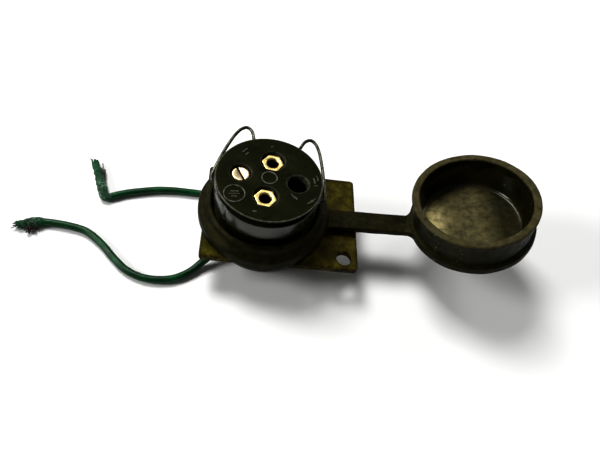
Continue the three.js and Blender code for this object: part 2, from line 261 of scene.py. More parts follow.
def turned(bm, profile, sides=144, centre=(0, 0), place=Matrix.Identity(4)):
    """A profile of (radius, height) points turned about a vertical line; returns its rows."""
    rows = []
    for radius, height in profile:
        if radius < 1e-6:
            rows.append([bm.verts.new(place @ Vector((centre[0], centre[1], height)))])
            continue
        row = []
        for k in range(sides):
            angle = 2 * math.pi * k / sides
            x = centre[0] + radius * math.cos(angle)
            y = centre[1] + radius * math.sin(angle)
            row.append(bm.verts.new(place @ Vector((x, y, height))))
        rows.append(row)
    bridge(bm, rows)
    return rows


def outlined(bm, loop, levels):
    """Rows of an outline. levels are (inset, height) pairs and loop gives the points for an inset."""
    rows = [[bm.verts.new((x, y, height)) for x, y in loop(inset)] for inset, height in levels]
    bridge(bm, rows)
    return rows


def fill(bm, *rings):
    """A flat face with holes between rings of vertices."""
    edges = []
    for ring in rings:
        for k, vert in enumerate(ring):
            other = ring[(k + 1) % len(ring)]
            edges.append(bm.edges.get((vert, other)) or bm.edges.new((vert, other)))
    bmesh.ops.triangle_fill(bm, use_beauty=True, use_dissolve=False, edges=edges)


def circle_loop(radius, centre=(0, 0), sides=64, hole=False):
    """An outline whose inset makes it smaller, or larger where it is a hole."""
    def loop(inset):
        r = radius + inset if hole else radius - inset
        angles = [2 * math.pi * k / sides for k in range(sides)]
        return [(centre[0] + r * math.cos(a), centre[1] + r * math.sin(a)) for a in angles]
    return loop


def hexagon_loop(radius, centre, turn, per_side=8):
    def loop(inset):
        r = radius - inset / math.cos(math.pi / 6)
        corners = [Vector((r, 0)) @ Matrix.Rotation(-(turn + k * math.pi / 3), 2) for k in range(6)]
        points = []
        for k in range(6):
            for step in range(per_side):
                point = corners[k].lerp(corners[(k + 1) % 6], step / per_side)
                points.append((centre[0] + point.x, centre[1] + point.y))
        return points
    return loop


def box_loop(left, right, half, corner):
    def loop(inset):
        a, b, w = left + inset, right - inset, half - inset
        bend = max(corner - inset, 0.0002)
        corners = [(a, -w, bend), (b, -w, bend), (b, w, bend), (a, w, bend)]
        return [(p.x, p.y) for p in rounded(corners, closed=True, steps=8)]
    return loop


def edge_levels(bottom, top, edge, steps=4):
    """Levels up a wall with both its edges rounded."""
    quarter = [math.pi / 2 * k / steps for k in range(steps + 1)]
    low = [(edge * (1 - math.sin(a)), bottom + edge * (1 - math.cos(a))) for a in quarter]
    high = [(edge * (1 - math.cos(a)), top - edge * (1 - math.sin(a))) for a in quarter]
    return low + high


def smooth_route(points, step=0.0008):
    """Points along a centripetal Catmull-Rom curve through the given points, about a step apart."""
    places = [Vector(p) for p in points]
    places = [2 * places[0] - places[1]] + places + [2 * places[-1] - places[-2]]
    route = []
    for k in range(1, len(places) - 2):
        p = places[k - 1:k + 3]
        t = [0.0]
        for a, b in zip(p, p[1:]):
            t.append(t[-1] + math.sqrt((b - a).length))
        pieces = max(2, round((p[2] - p[1]).length / step))
        for n in range(pieces):
            s = t[1] + (t[2] - t[1]) * n / pieces
            a1 = p[0].lerp(p[1], (s - t[0]) / (t[1] - t[0]))
            a2 = p[1].lerp(p[2], (s - t[1]) / (t[2] - t[1]))
            a3 = p[2].lerp(p[3], (s - t[2]) / (t[3] - t[2]))
            b1 = a1.lerp(a2, (s - t[0]) / (t[2] - t[0]))
            b2 = a2.lerp(a3, (s - t[1]) / (t[3] - t[1]))
            route.append(b1.lerp(b2, (s - t[1]) / (t[2] - t[1])))
    return route + [places[-2]]


def route_frames(route):
    """The across, up and ahead directions at each point of a route, turned as little as possible along it."""
    frames = []
    across = None
    for k, _ in enumerate(route):
        ahead = (route[min(k + 1, len(route) - 1)] - route[max(k - 1, 0)]).normalized()
        if across is None:
            across = Vector((0, 0, 1)).cross(ahead)
            if across.length < 0.1:
                across = Vector((1, 0, 0)).cross(ahead)
        across = (across - ahead * across.dot(ahead)).normalized()
        frames.append((across, ahead.cross(across), ahead))
    return frames


def tube(bm, route, radius, sides):
    """A round wire along a route, with flat ends."""
    rows = []
    for point, (across, up, _) in zip(route, route_frames(route)):
        angles = [2 * math.pi * n / sides for n in range(sides)]
        outs = [math.cos(angle) * across + math.sin(angle) * up for angle in angles]
        rows.append([bm.verts.new(point + radius * out) for out in outs])
    bridge(bm, rows)
    bm.faces.new(rows[0])
    bm.faces.new(rows[-1])


def cut(piece, cutter):
    """Takes the cutter's shape out of a piece."""
    modifier = piece.modifiers.new("cut", "BOOLEAN")
    modifier.solver = "EXACT"
    modifier.object = cutter
    apply_modifiers(piece)
    bpy.data.objects.remove(cutter)


def apply_modifiers(piece):
    graph = bpy.context.evaluated_depsgraph_get()
    mesh = bpy.data.meshes.new_from_object(piece.evaluated_get(graph))
    piece.modifiers.clear()
    piece.data = mesh


def on_pattern(u, v):
    cos, sin = math.cos(PATTERN_TURN), math.sin(PATTERN_TURN)
    return (u * cos - v * sin, u * sin + v * cos)


# ---------------------------------------------------------------- material helpers


class Surface:
    """A node material, with a short way to add and join its nodes."""

    def __init__(self, name):
        self.material = bpy.data.materials.new(name)
        self.material.use_nodes = True
        self.tree = self.material.node_tree
        self.shader = self.tree.nodes["Principled BSDF"]
        self.place = self.tree.nodes.new("ShaderNodeTexCoord").outputs["Object"]

    def node(self, kind, inputs, **settings):
        node = self.tree.nodes.new(kind)
        for key, value in settings.items():
            setattr(node, key, value)
        for key, value in inputs.items():
            if isinstance(value, bpy.types.NodeSocket):
                self.tree.links.new(value, node.inputs[key])
            else:
                node.inputs[key].default_value = value
        return node

    def clouds(self, scale, detail=4, roughness=0.55, distortion=0.0, stretch=None):
        place = self.place
        if stretch:
            place = self.node("ShaderNodeMapping", {"Vector": place, "Scale": stretch}).outputs["Vector"]
        inputs = {"Vector": place, "Scale": scale, "Detail": detail,
                  "Roughness": roughness, "Distortion": distortion}
        return self.node("ShaderNodeTexNoise", inputs).outputs["Fac"]

    def ramp(self, value, stops):
        """Colours or grey levels at places along a value."""
        node = self.node("ShaderNodeValToRGB", {"Fac": value})
        elements = node.color_ramp.elements
        while len(elements) < len(stops):
            elements.new(0.5)
        for element, (place, colour) in zip(elements, stops):
            element.position = place
            grey = isinstance(colour, (int, float))
            element.color = (colour, colour, colour, 1) if grey else (*colour, 1)
        return node.outputs["Color"]

    def mix(self, share, first, second):
        node = self.node("ShaderNodeMix", {}, data_type="RGBA")
        for socket, value in ((node.inputs[0], share), (node.inputs[6], first), (node.inputs[7], second)):
            if isinstance(value, bpy.types.NodeSocket):
                self.tree.links.new(value, socket)
            elif isinstance(value, (int, float)):
                socket.default_value = value
            else:
                socket.default_value = (*value, 1)
        return node.outputs[2]

    def math(self, operation, first, second):
        node = self.tree.nodes.new("ShaderNodeMath")
        node.operation = operation
        node.use_clamp = operation != "POWER"
        for socket, value in zip(node.inputs, (first, second)):
            if isinstance(value, bpy.types.NodeSocket):
                self.tree.links.new(value, socket)
            else:
                socket.default_value = value
        return node.outputs[0]

    def edges(self, low, high):
        """From 0 on flat and hollow places to 1 on edges that stick out."""
        point = self.tree.nodes.new("ShaderNodeNewGeometry").outputs["Pointiness"]
        inputs = {"Value": point, "From Min": low, "From Max": high}
        return self.node("ShaderNodeMapRange", inputs).outputs["Result"]

    def attribute(self, name):
        return self.node("ShaderNodeAttribute", {}, attribute_name=name).outputs["Fac"]

    def facing_up(self, low, high):
        normal = self.tree.nodes.new("ShaderNodeNewGeometry").outputs["Normal"]
        up = self.node("ShaderNodeSeparateXYZ", {"Vector": normal}).outputs["Z"]
        inputs = {"Value": up, "From Min": low, "From Max": high}
        return self.node("ShaderNodeMapRange", inputs).outputs["Result"]

    def finish(self, colour, roughness, bumps=(), metallic=0.0, **sockets):
        """bumps are (height, strength, distance) triples, laid over each other."""
        self.tree.links.new(colour, self.shader.inputs["Base Color"])
        self.tree.links.new(roughness, self.shader.inputs["Roughness"])
        self.shader.inputs["Metallic"].default_value = metallic
        for name, value in sockets.items():
            self.shader.inputs[name.replace("_", " ")].default_value = value
        normal = None
        for height, strength, distance in bumps:
            inputs = {"Height": height, "Strength": strength, "Distance": distance}
            if normal:
                inputs["Normal"] = normal
            normal = self.node("ShaderNodeBump", inputs).outputs["Normal"]
        if normal:
            self.tree.links.new(normal, self.shader.inputs["Normal"])
        return self.material


OLIVE_SHEEN = (1.0, 0.95, 0.45, 1.0)
PLAIN_SHEEN = (0.97, 1.0, 0.93, 1.0)
GREEN_SHEEN = (0.75, 1.0, 0.80, 1.0)


def make_olive_paint():
    """Worn olive paint, mottled, with dark chips along the edges."""
    s = Surface("olive_paint")
    mottle = s.ramp(s.clouds(230, 6, 0.65), [(0.34, (0.016, 0.012, 0.0006)), (0.5, (0.042, 0.034, 0.0015)),
                                            (0.66, (0.088, 0.072, 0.006))])
    rust = s.ramp(s.clouds(95, 5, 0.6, 0.6), [(0.5, 0.0), (0.66, 0.75)])
    colour = s.mix(rust, mottle, (0.020, 0.012, 0.002))
    chips = s.math("MULTIPLY", s.attribute("wear_and_glint"), s.ramp(s.clouds(700, 4), [(0.42, 0.0), (0.55, 1.0)]))
    colour = s.mix(chips, colour, (0.006, 0.004, 0.001))
    rough = s.ramp(s.clouds(500, 4), [(0.3, 0.5), (0.7, 0.78)])
    bumps = [(s.clouds(1400, 3), 0.35, 0.0002), (s.clouds(260, 3), 0.4, 0.0003)]
    return s.finish(colour, rough, bumps, Specular_IOR_Level=0.10, Specular_Tint=OLIVE_SHEEN)


def make_rubber():
    """Olive-black moulded rubber with dust in patches, brown bloom and paler rubbed edges; on the cap's floor
    a painted sheen and a painted highlight patch.
    """
    s = Surface("black_rubber")
    base = s.ramp(s.clouds(160, 6, 0.6), [(0.35, (0.0018, 0.0020, 0.0004)), (0.52, (0.0050, 0.0050, 0.0010)),
                                         (0.68, (0.0105, 0.0100, 0.0024))])
    bloom = s.ramp(s.clouds(60, 4, 0.5, 0.8), [(0.5, 0.0), (0.62, 0.5)])
    colour = s.mix(bloom, base, (0.0125, 0.0085, 0.0016))
    patches = s.ramp(s.clouds(420, 7, 0.7), [(0.46, 0.0), (0.7, 0.24)])
    dust = s.math("MULTIPLY", s.facing_up(0.5, 0.95), patches)
    colour = s.mix(dust, colour, (0.060, 0.054, 0.022))
    # dust on the cap's rim; on the cap's floor this pale cream is a painted sheen and a painted highlight
    patches = s.ramp(s.clouds(330, 7, 0.68), [(0.34, 0.25), (0.62, 1.0)])
    dust_and_sheen_share = s.math("MULTIPLY", s.attribute("dust_and_sheen"), patches)
    colour = s.mix(dust_and_sheen_share, colour, (0.45, 0.38, 0.18))
    seamless = s.math("SUBTRACT", 1.0, s.attribute("seam"))
    edges = s.math("MULTIPLY", s.edges(0.545, 0.62), s.ramp(s.clouds(350, 4), [(0.35, 0.15), (0.65, 0.75)]))
    edges = s.math("MULTIPLY", edges, seamless)
    colour = s.mix(edges, colour, (0.11, 0.105, 0.055))
    polished = s.ramp(s.clouds(500, 4), [(0.3, 0.16), (0.7, 0.30)])
    rough = s.mix(s.attribute("polish"), s.ramp(s.clouds(260, 5), [(0.3, 0.46), (0.7, 0.7)]), polished)
    bumps = [(s.clouds(2200, 3), 0.25, 0.00012), (s.clouds(420, 4), 0.35, 0.00025)]
    s.tree.links.new(s.math("MULTIPLY", s.attribute("polish"), 0.5), s.shader.inputs["Coat Weight"])
    return s.finish(colour, rough, bumps,
                    Specular_IOR_Level=0.10, Specular_Tint=OLIVE_SHEEN, Coat_Roughness=0.16)


def make_bakelite(name, side_gloss, specular, sheen):
    """Black phenolic moulding: satin with dust on top, smoother sides, and pale edges and marks that are
    partly rubbing and partly painted highlight.
    """
    s = Surface(name)
    colour = s.ramp(s.clouds(220, 5), [(0.35, (0.0030, 0.0038, 0.0010)), (0.65, (0.0068, 0.0080, 0.0020))])
    top = s.facing_up(0.6, 0.95)
    dust_and_sheen = s.math("MULTIPLY", top, s.ramp(s.clouds(600, 6, 0.7), [(0.45, 0.0), (0.75, 0.45)]))
    colour = s.mix(dust_and_sheen, colour, (0.014, 0.015, 0.005))
    # painted highlight, with rubbing: the face's rim edge, its holes' edges and the raised marks are paled
    glint_and_rub_share = s.math("MULTIPLY", s.attribute("wear_and_glint"), s.ramp(s.clouds(500, 4), [(0.35, 0.25), (0.65, 0.9)]))
    colour = s.mix(glint_and_rub_share, colour, (0.16, 0.16, 0.125))
    side_rough = s.ramp(s.clouds(300, 4), [(0.3, side_gloss), (0.7, side_gloss + 0.10)])
    top_rough = s.ramp(s.clouds(450, 4), [(0.3, 0.34), (0.7, 0.5)])
    rough = s.mix(top, side_rough, top_rough)
    scratches = s.clouds(900, 2, 0.5, 0.0, (1.0, 0.06, 1.0))
    bumps = [(scratches, 0.12, 0.0001), (s.clouds(1500, 3), 0.12, 0.0001)]
    return s.finish(colour, rough, bumps, Specular_IOR_Level=specular, Specular_Tint=sheen)


def make_brass(name, bright, dark, rough_low):
    """Turned brass, lightly tarnished in patches, with painted shade darkening its bores and recessed parts.
    """
    s = Surface(name)
    tarnish = s.ramp(s.clouds(900, 5, 0.6), [(0.45, 0.0), (0.75, 0.55)])
    colour = s.mix(tarnish, bright, dark)
    # painted shade: the sleeves' bores and the screw's recessed parts are darkened
    colour = s.mix(s.attribute("recess_shade"), colour, (0.030, 0.010, 0.006))
    rough = s.ramp(s.clouds(1300, 4), [(0.3, rough_low), (0.7, rough_low + 0.12)])
    return s.finish(colour, rough, [(s.clouds(1500, 2), 0.03, 0.00005)], 1.0)


def make_wire_steel():
    s = Surface("spring_wire")
    colour = s.ramp(s.clouds(500, 5), [(0.35, (0.016, 0.016, 0.011)), (0.65, (0.075, 0.072, 0.052))])
    rough = s.ramp(s.clouds(900, 4), [(0.3, 0.20), (0.7, 0.38)])
    return s.finish(colour, rough, [(s.clouds(2500, 3), 0.2, 0.0001)], 0.85)


def make_black_steel():
    s = Surface("black_steel")
    colour = s.ramp(s.clouds(400, 5), [(0.35, (0.03, 0.028, 0.025)), (0.65, (0.09, 0.07, 0.05))])
    rough = s.ramp(s.clouds(700, 4), [(0.3, 0.4), (0.7, 0.65)])
    return s.finish(colour, rough, [(s.clouds(1800, 3), 0.25, 0.0001)], 0.8)


def make_green_pvc():
    """Green PVC sheath, with soil in streaks along it."""
    s = Surface("green_pvc")
    colour = s.ramp(s.clouds(120, 5), [(0.35, (0.0006, 0.018, 0.004)), (0.52, (0.0012, 0.038, 0.009)),
                                      (0.7, (0.004, 0.072, 0.022))])
    soil = s.ramp(s.clouds(520, 6, 0.7), [(0.5, 0.0), (0.72, 0.55)])
    colour = s.mix(soil, colour, (0.002, 0.011, 0.003))
    rough = s.ramp(s.clouds(300, 4), [(0.3, 0.28), (0.7, 0.48)])
    return s.finish(colour, rough, [(s.clouds(900, 4), 0.3, 0.0002)],
                    Specular_IOR_Level=0.22, Specular_Tint=GREEN_SHEEN)


def make_frosted_pvc():
    """The same sheath where it is torn and chafed: whitened and fibrous."""
    s = Surface("frosted_pvc")
    colour = s.ramp(s.clouds(260, 5), [(0.38, (0.0008, 0.022, 0.006)), (0.6, (0.003, 0.060, 0.018))])
    frost = s.ramp(s.clouds(1100, 6, 0.8), [(0.50, 0.0), (0.60, 0.85)])
    patches = s.math("MULTIPLY", s.attribute("chafed"), s.ramp(s.clouds(260, 3), [(0.36, 0.2), (0.56, 1.0)]))
    colour = s.mix(s.math("MULTIPLY", frost, patches), colour, (0.36, 0.50, 0.40))
    rough = s.ramp(s.clouds(800, 4), [(0.3, 0.5), (0.7, 0.8)])
    return s.finish(colour, rough, [(s.clouds(1800, 5, 0.7), 0.8, 0.0004)],
                    Specular_IOR_Level=0.25, Specular_Tint=GREEN_SHEEN)


def make_copper():
    s = Surface("dark_copper")
    colour = s.ramp(s.clouds(700, 4), [(0.35, (0.008, 0.005, 0.004)), (0.65, (0.045, 0.018, 0.014))])
    rough = s.ramp(s.clouds(900, 3), [(0.3, 0.45), (0.7, 0.7)])
    return s.finish(colour, rough, [(s.clouds(2500, 3), 0.3, 0.0001)], 0.6)


olive_paint = make_olive_paint()
rubber = make_rubber()
face_bakelite = make_bakelite("face_bakelite", 0.14, 0.055, OLIVE_SHEEN)
bakelite = make_bakelite("bakelite", 0.14, 0.62, PLAIN_SHEEN)
brass = make_brass("brass", (0.88, 0.72, 0.31), (0.48, 0.28, 0.06), 0.36)
pale_brass = make_brass("pale_brass", (0.74, 0.63, 0.42), (0.45, 0.32, 0.15), 0.44)
wire_steel = make_wire_steel()
black_steel = make_black_steel()
green_pvc = make_green_pvc()
frosted_pvc = make_frosted_pvc()
copper = make_copper()

# ---------------------------------------------------------------- leads

UPPER_LEAD = [
    (-0.0042, 0.0100, -0.0051), (-0.0155, 0.0116, -0.0067), (-0.0205, 0.0146, -0.0081),
    (-0.0246, 0.0180, -0.0104), (-0.0295, 0.0200, -0.0122), (-0.0355, 0.0203, LEAD_LEVEL),
    (-0.0425, 0.0203, LEAD_LEVEL), (-0.0500, 0.0196, LEAD_LEVEL), (-0.0572, 0.0179, LEAD_LEVEL),
    (-0.0642, 0.0158, LEAD_LEVEL), (-0.0685, 0.0139, LEAD_LEVEL), (-0.0706, 0.0128, LEAD_LEVEL),
]
LOWER_LEAD = [
    (-0.0066, -0.0099, -0.0051), (-0.0152, -0.0124, -0.0067), (-0.0194, -0.0150, -0.0082),
    (-0.0243, -0.0187, -0.0109), (-0.0295, -0.0239, -0.0122), (-0.0359, -0.0279, LEAD_LEVEL),
    (-0.0425, -0.0293, LEAD_LEVEL), (-0.0494, -0.0289, LEAD_LEVEL), (-0.0566, -0.0259, LEAD_LEVEL),
    (-0.0627, -0.0207, LEAD_LEVEL), (-0.0691, -0.0140, LEAD_LEVEL), (-0.0773, -0.0079, LEAD_LEVEL),
    (-0.0846, -0.0059, LEAD_LEVEL), (-0.0917, -0.0051, LEAD_LEVEL), (-0.0964, -0.0050, LEAD_LEVEL),
]
UPPER_END = [
    (-0.0706, 0.0128, LEAD_LEVEL), (-0.0726, 0.0119, END_LEVEL), (-0.0740, 0.0134, END_LEVEL),
    (-0.0765, 0.0203, END_LEVEL), (-0.0785, 0.0250, END_LEVEL), (-0.0822, 0.0330, END_LEVEL),
]
LOWER_END = [
    (-0.0960, -0.0050, LEAD_LEVEL), (-0.1010, -0.0062, END_LEVEL), (-0.1068, -0.0081, END_LEVEL),
]


def torn_sheath(name, points, swell, chafed_at):
    """The last stretch of sheath: opened and ragged, and chafed most around one place along it."""
    route = smooth_route(points, 0.0005)
    frames = route_frames(route)
    sides = 20
    bm = bmesh.new()
    chafed = bm.verts.layers.float.new("chafed")
    rows = []
    for k, (point, (across, up, ahead)) in enumerate(zip(route, frames)):
        share = k / (len(route) - 1)
        row = []
        for n in range(sides):
            angle = 2 * math.pi * n / sides
            out = math.cos(angle) * across + math.sin(angle) * up
            rough = noise.noise((point + out * LEAD_RADIUS) * 800) * 0.0005 * min(1, share * 5)
            radius = LEAD_RADIUS * (1 + swell * math.sin(math.pi * min(1, 1.25 * share) ** 0.8)) + rough
            ragged = noise.noise(Vector((3 * math.cos(angle), 3 * math.sin(angle), swell * 50)))
            reach = ahead * ragged * 0.0028 * max(0, share - 0.8) * 5
            vert = point + radius * out + reach
            vert.z = max(vert.z, FLOOR_LEVEL + 0.0001)
            row.append(bm.verts.new(vert))
            row[-1][chafed] = 0.12 + 0.88 * math.exp(-((share - chafed_at) / 0.22) ** 2)
        rows.append(row)
    inner = []
    for depth in (0.12, 0.5, 1.0):
        back = len(rows) - 1 - round(depth * 8)
        point = route[back]
        inner.append([bm.verts.new(point.lerp(vert.co, 0.72)) for vert in rows[back]])
    bridge(bm, rows + inner)
    bm.faces.new(rows[0])
    bm.faces.new(inner[-1])
    return link(mesh_of(bm, name, 60), name, frosted_pvc)


def strand_bundle(name, start, ahead, count, length, spread):
    """Fine conductor strands that leave a torn sheath and splay a little."""
    bm = bmesh.new()
    side = ahead.cross(Vector((0, 0, 1))).normalized()
    for k in range(count):
        reach = length * random_state.uniform(0.55, 1.0)
        if k == 0:
            reach = length * 1.35
        sideways = side * random_state.uniform(-1, 1) * spread
        lift = Vector((0, 0, random_state.uniform(-0.7, 1.0) * spread * 0.5))
        offset = (side * random_state.uniform(-1, 1) + Vector((0, 0, random_state.uniform(-1, 1)))) * 0.0008
        curl = side * random_state.uniform(-1, 1) * spread * 0.5
        points = [
            start + offset - ahead * 0.0012,
            start + offset + ahead * reach * 0.35 + sideways * 0.25 + curl * 0.5,
            start + offset + ahead * reach * 0.7 + sideways * 0.7 + lift * 0.6,
            start + offset + ahead * reach + sideways + lift - curl * 0.4,
        ]
        for point in points:
            point.z = max(point.z, FLOOR_LEVEL + 2 * STRAND_RADIUS)
        tube(bm, smooth_route(points, 0.0007), STRAND_RADIUS, 6)
    piece = link(mesh_of(bm, name, 60), name, copper)
    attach(piece, "outlet")
    return piece


def make_lead(name, points):
    route = smooth_route(points)
    curve = bpy.data.curves.new(name, "CURVE")
    curve.dimensions = "3D"
    curve.bevel_depth = LEAD_RADIUS
    curve.bevel_resolution = 5
    curve.use_fill_caps = True
    spline = curve.splines.new("POLY")
    spline.points.add(len(route) - 1)
    for target, place in zip(spline.points, route):
        target.co = (*place, 1)
    spline.use_smooth = True
    lead = link(curve, name, green_pvc)
    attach(lead, "outlet")
    return lead


def make_leads():
    upper_end = torn_sheath("upper_torn_sheath", UPPER_END, 0.30, 0.25)
    lower_end = torn_sheath("lower_torn_sheath", LOWER_END, 0.34, 0.45)
    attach(upper_end, "outlet")
    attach(lower_end, "outlet")
    tip, before = Vector(UPPER_END[-1]), Vector(UPPER_END[-2])
    upper_ahead = (tip - before).normalized()
    upper_side = Vector((upper_ahead.y, -upper_ahead.x, 0))
    upper_bunch = Vector(UPPER_END[3]).lerp(Vector(UPPER_END[4]), 0.2) + upper_side * 0.0014
    upper_strands = [
        strand_bundle("upper_tip_strands", tip - upper_ahead * 0.0012, upper_ahead, 7, 0.0024, 0.0012),
        strand_bundle("upper_side_strands", upper_bunch, (upper_ahead + upper_side * 0.16).normalized(),
                      16, 0.0080, 0.0008),
    ]
    lower_back = Vector((0.45, -0.9, 0)).normalized()
    lower_bunch = Vector(LOWER_END[1]) + Vector((-0.0004, -0.0012, -0.0004))
    lower_strands = [
        strand_bundle("lower_bunch_strands", lower_bunch, lower_back, 30, 0.0040, 0.0022),
        strand_bundle("lower_tip_strands", Vector(LOWER_END[-1]), Vector((-0.95, -0.3, 0)),
                      6, 0.0019, 0.0009),
    ]
    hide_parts("lead_end_upper")
    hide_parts("lead_end_lower")
    upper = make_lead("upper_lead_sheath", UPPER_LEAD)
    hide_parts("lead_upper")
    lower = make_lead("lower_lead_sheath", LOWER_LEAD)
    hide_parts("lead_lower")


make_leads()

# ---------------------------------------------------------------- plate


def make_plate():
    bm = bmesh.new()
    wear_and_glint = bm.verts.layers.float.new("wear_and_glint")
    inner = PLATE_EDGE + 0.0012
    wall = edge_levels(plate_lo.z, PLATE_TOP, PLATE_EDGE)
    outer = outlined(bm, box_loop(plate_lo.x, plate_hi.x, plate_hi.y, PLATE_CORNER),
                     [(inner, plate_lo.z)] + wall + [(inner, PLATE_TOP)])
    holes = [outlined(bm, circle_loop(OPENING_RADIUS, sides=96, hole=True), wall)]
    for place in FIXING_HOLES:
        levels = wall + [(PLATE_EDGE + 0.0006, PLATE_TOP)]
        holes.append(outlined(bm, circle_loop(FIXING_RADIUS, place, 48, hole=True), levels))
    fill(bm, outer[0], *[rows[0] for rows in holes])
    fill(bm, outer[-1], *[rows[-1] for rows in holes])
    for rows in [outer, *holes]:
        for row in rows[1:-1]:
            for vert in row:
                vert[wear_and_glint] = 1.0
    piece = link(mesh_of(bm, "painted_plate", 50), "painted_plate", olive_paint)
    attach(piece, "outlet")
    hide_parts("mounting_plate")


make_plate()

# ---------------------------------------------------------------- insert

contacts = [on_pattern(0, CONTACT_OFFSET), on_pattern(0, -CONTACT_OFFSET)]
screw_place = on_pattern(-KEY_OFFSET, 0)
key_place = on_pattern(KEY_OFFSET, 0)


def make_face():
    """The face disc, with a step under its rim and holes that are rounded at their edges."""
    bottom, top = cover_lo.z, FACE_TOP
    bm = bmesh.new()
    wear_and_glint = bm.verts.layers.float.new("wear_and_glint")
    corners = [
        (0, bottom, 0), (GROOVE_RADIUS, bottom, 0.0001), (GROOVE_RADIUS, top - 0.0010, 0.0002),
        (FACE_RADIUS, top - 0.0008, 0.0002), (FACE_RADIUS, top, HOLE_ROUNDING),
        (FACE_RADIUS - 0.0006, top, 0.0001),
    ]
    profile = rounded(corners)
    rim = turned(bm, profile[1:], 160)
    holes = []
    places = [(HEAD_RECESS, place, HOLE_ROUNDING) for place in contacts]
    places += [(KEY_HOLE, key_place, KEY_ROUNDING), (SCREW_RECESS, screw_place, HOLE_ROUNDING)]
    for radius, place, rounding in places:
        loop = circle_loop(radius, place, 64, hole=True)
        holes.append(outlined(bm, loop, edge_levels(bottom, top, rounding)))
    fill(bm, rim[0], *[rows[0] for rows in holes])
    fill(bm, rim[-1], *[rows[-1] for rows in holes])
    # the rim's rounded edge is paled as a painted highlight line and as rubbing; the holes' edges are paled
    # less, for the same two causes
    for rows in [rim, *holes]:
        for vert in {vert for row in rows[-6:-1] for vert in row}:
            vert[wear_and_glint] = 0.8 if rows is rim else 0.35
    piece = link(mesh_of(bm, "face_disc", 40), "face_disc", face_bakelite)
    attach(piece, "outlet")
    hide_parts("insert_cover")


def make_body():
    """The moulded body: glossy band, recessed neck and spigot, with the key hole and the sleeves' bores."""
    corners = [
        (0, BODY_REAR, 0), (BODY_RADIUS, BODY_REAR, 0.0004),
        (BODY_RADIUS, SHOULDER, 0.0002), (NECK_RADIUS, SHOULDER, 0.0002),
        (NECK_RADIUS, BAND_BOTTOM - 0.0005, 0.0002), (FACE_RADIUS, BAND_BOTTOM, 0.0005),
        (FACE_RADIUS, GROOVE_BOTTOM, 0.0004), (FACE_RADIUS - 0.0008, GROOVE_BOTTOM, 0.0001),
    ]
    bm = bmesh.new()
    outside = turned(bm, rounded(corners), 240)
    for vert in {vert for row in outside for vert in row}:
        away = math.atan2(vert.co.y, vert.co.x) - FLUTE_TURN
        if vert.co.z > BAND_BOTTOM - 0.0001 and abs(away) < 0.3:
            vert.co.xy *= 1 - FLUTE_DEPTH * math.exp(-(away / FLUTE_SPREAD) ** 2)
    pockets = []
    for radius, place, floor in [
        (SLEEVE_POCKET, contacts[0], POCKET_FLOOR),
        (SLEEVE_POCKET, contacts[1], POCKET_FLOOR),
        (KEY_HOLE, key_place, KEY_FLOOR),
        (SCREW_POCKET, screw_place, POCKET_FLOOR),
    ]:
        profile = rounded([(radius, GROOVE_BOTTOM, 0), (radius, floor, 0.001), (0, floor, 0)])
        pockets.append(turned(bm, profile, 64, place)[0])
    fill(bm, outside[-1], *pockets)
    piece = link(mesh_of(bm, "insert_moulding", 40), "insert_moulding", bakelite)
    for side in (0, math.pi):
        hole = bmesh.new()
        turned(hole, [(0, BAIL_HOLE_START), (BAIL_HOLE, BAIL_HOLE_START),
                      (BAIL_HOLE, BAIL_HOLE_END), (0, BAIL_HOLE_END)], 32)
        mesh = mesh_of(hole, "bail_hole")
        mesh.transform(Matrix.Translation((0, 0, BAIL_PIVOT)) @ Matrix.Rotation(side + PATTERN_TURN, 4, "Z")
                       @ Matrix.Rotation(math.pi / 2, 4, "Y"))
        cut(piece, link(mesh, "bail_hole", bakelite))
    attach(piece, "outlet")
    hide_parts("insert_body")


def make_sleeve(number, place):
    """A hexagon head with rounded edges, a countersunk bore and a stud behind."""
    bottom = GROOVE_BOTTOM + 0.0002
    bm = bmesh.new()
    recess_shade = bm.verts.layers.float.new("recess_shade")
    levels = edge_levels(bottom, SLEEVE_TOP, 0.0002)
    outer = outlined(bm, hexagon_loop(HEX_RADIUS, place, PATTERN_TURN), levels)
    mouth = rounded([
        (0.0031, SLEEVE_TOP, 0), (0.00285, SLEEVE_TOP - 0.0001, 0.0001),
        (SLEEVE_BORE, SLEEVE_TOP - 0.0009, 0.0001), (SLEEVE_BORE, SLEEVE_FLOOR + 0.0005, 0.0003),
        (0, SLEEVE_FLOOR, 0),
    ])
    bore = turned(bm, mouth, 48, place)
    # painted shade: the bore is marked for darkening
    for vert in {vert for row in bore for vert in row if vert.co.z < SLEEVE_TOP - 0.0005}:
        vert[recess_shade] = 1.0
    shank = turned(bm, rounded([
        (SHANK_RADIUS, bottom, 0), (SHANK_RADIUS, SHANK_END, 0.0002), (STUD_RADIUS, SHANK_END, 0),
        (STUD_RADIUS, STUD_END + 0.0002, 0.0004), (STUD_RADIUS - 0.0004, STUD_END, 0), (0, STUD_END, 0),
    ]), 48, place)
    fill(bm, outer[-1], bore[0])
    fill(bm, outer[0], shank[0])
    name = f"brass_sleeve_{number}"
    piece = link(mesh_of(bm, name, 28), name, brass)
    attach(piece, "outlet")
    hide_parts(f"contact_sleeve_{number}")


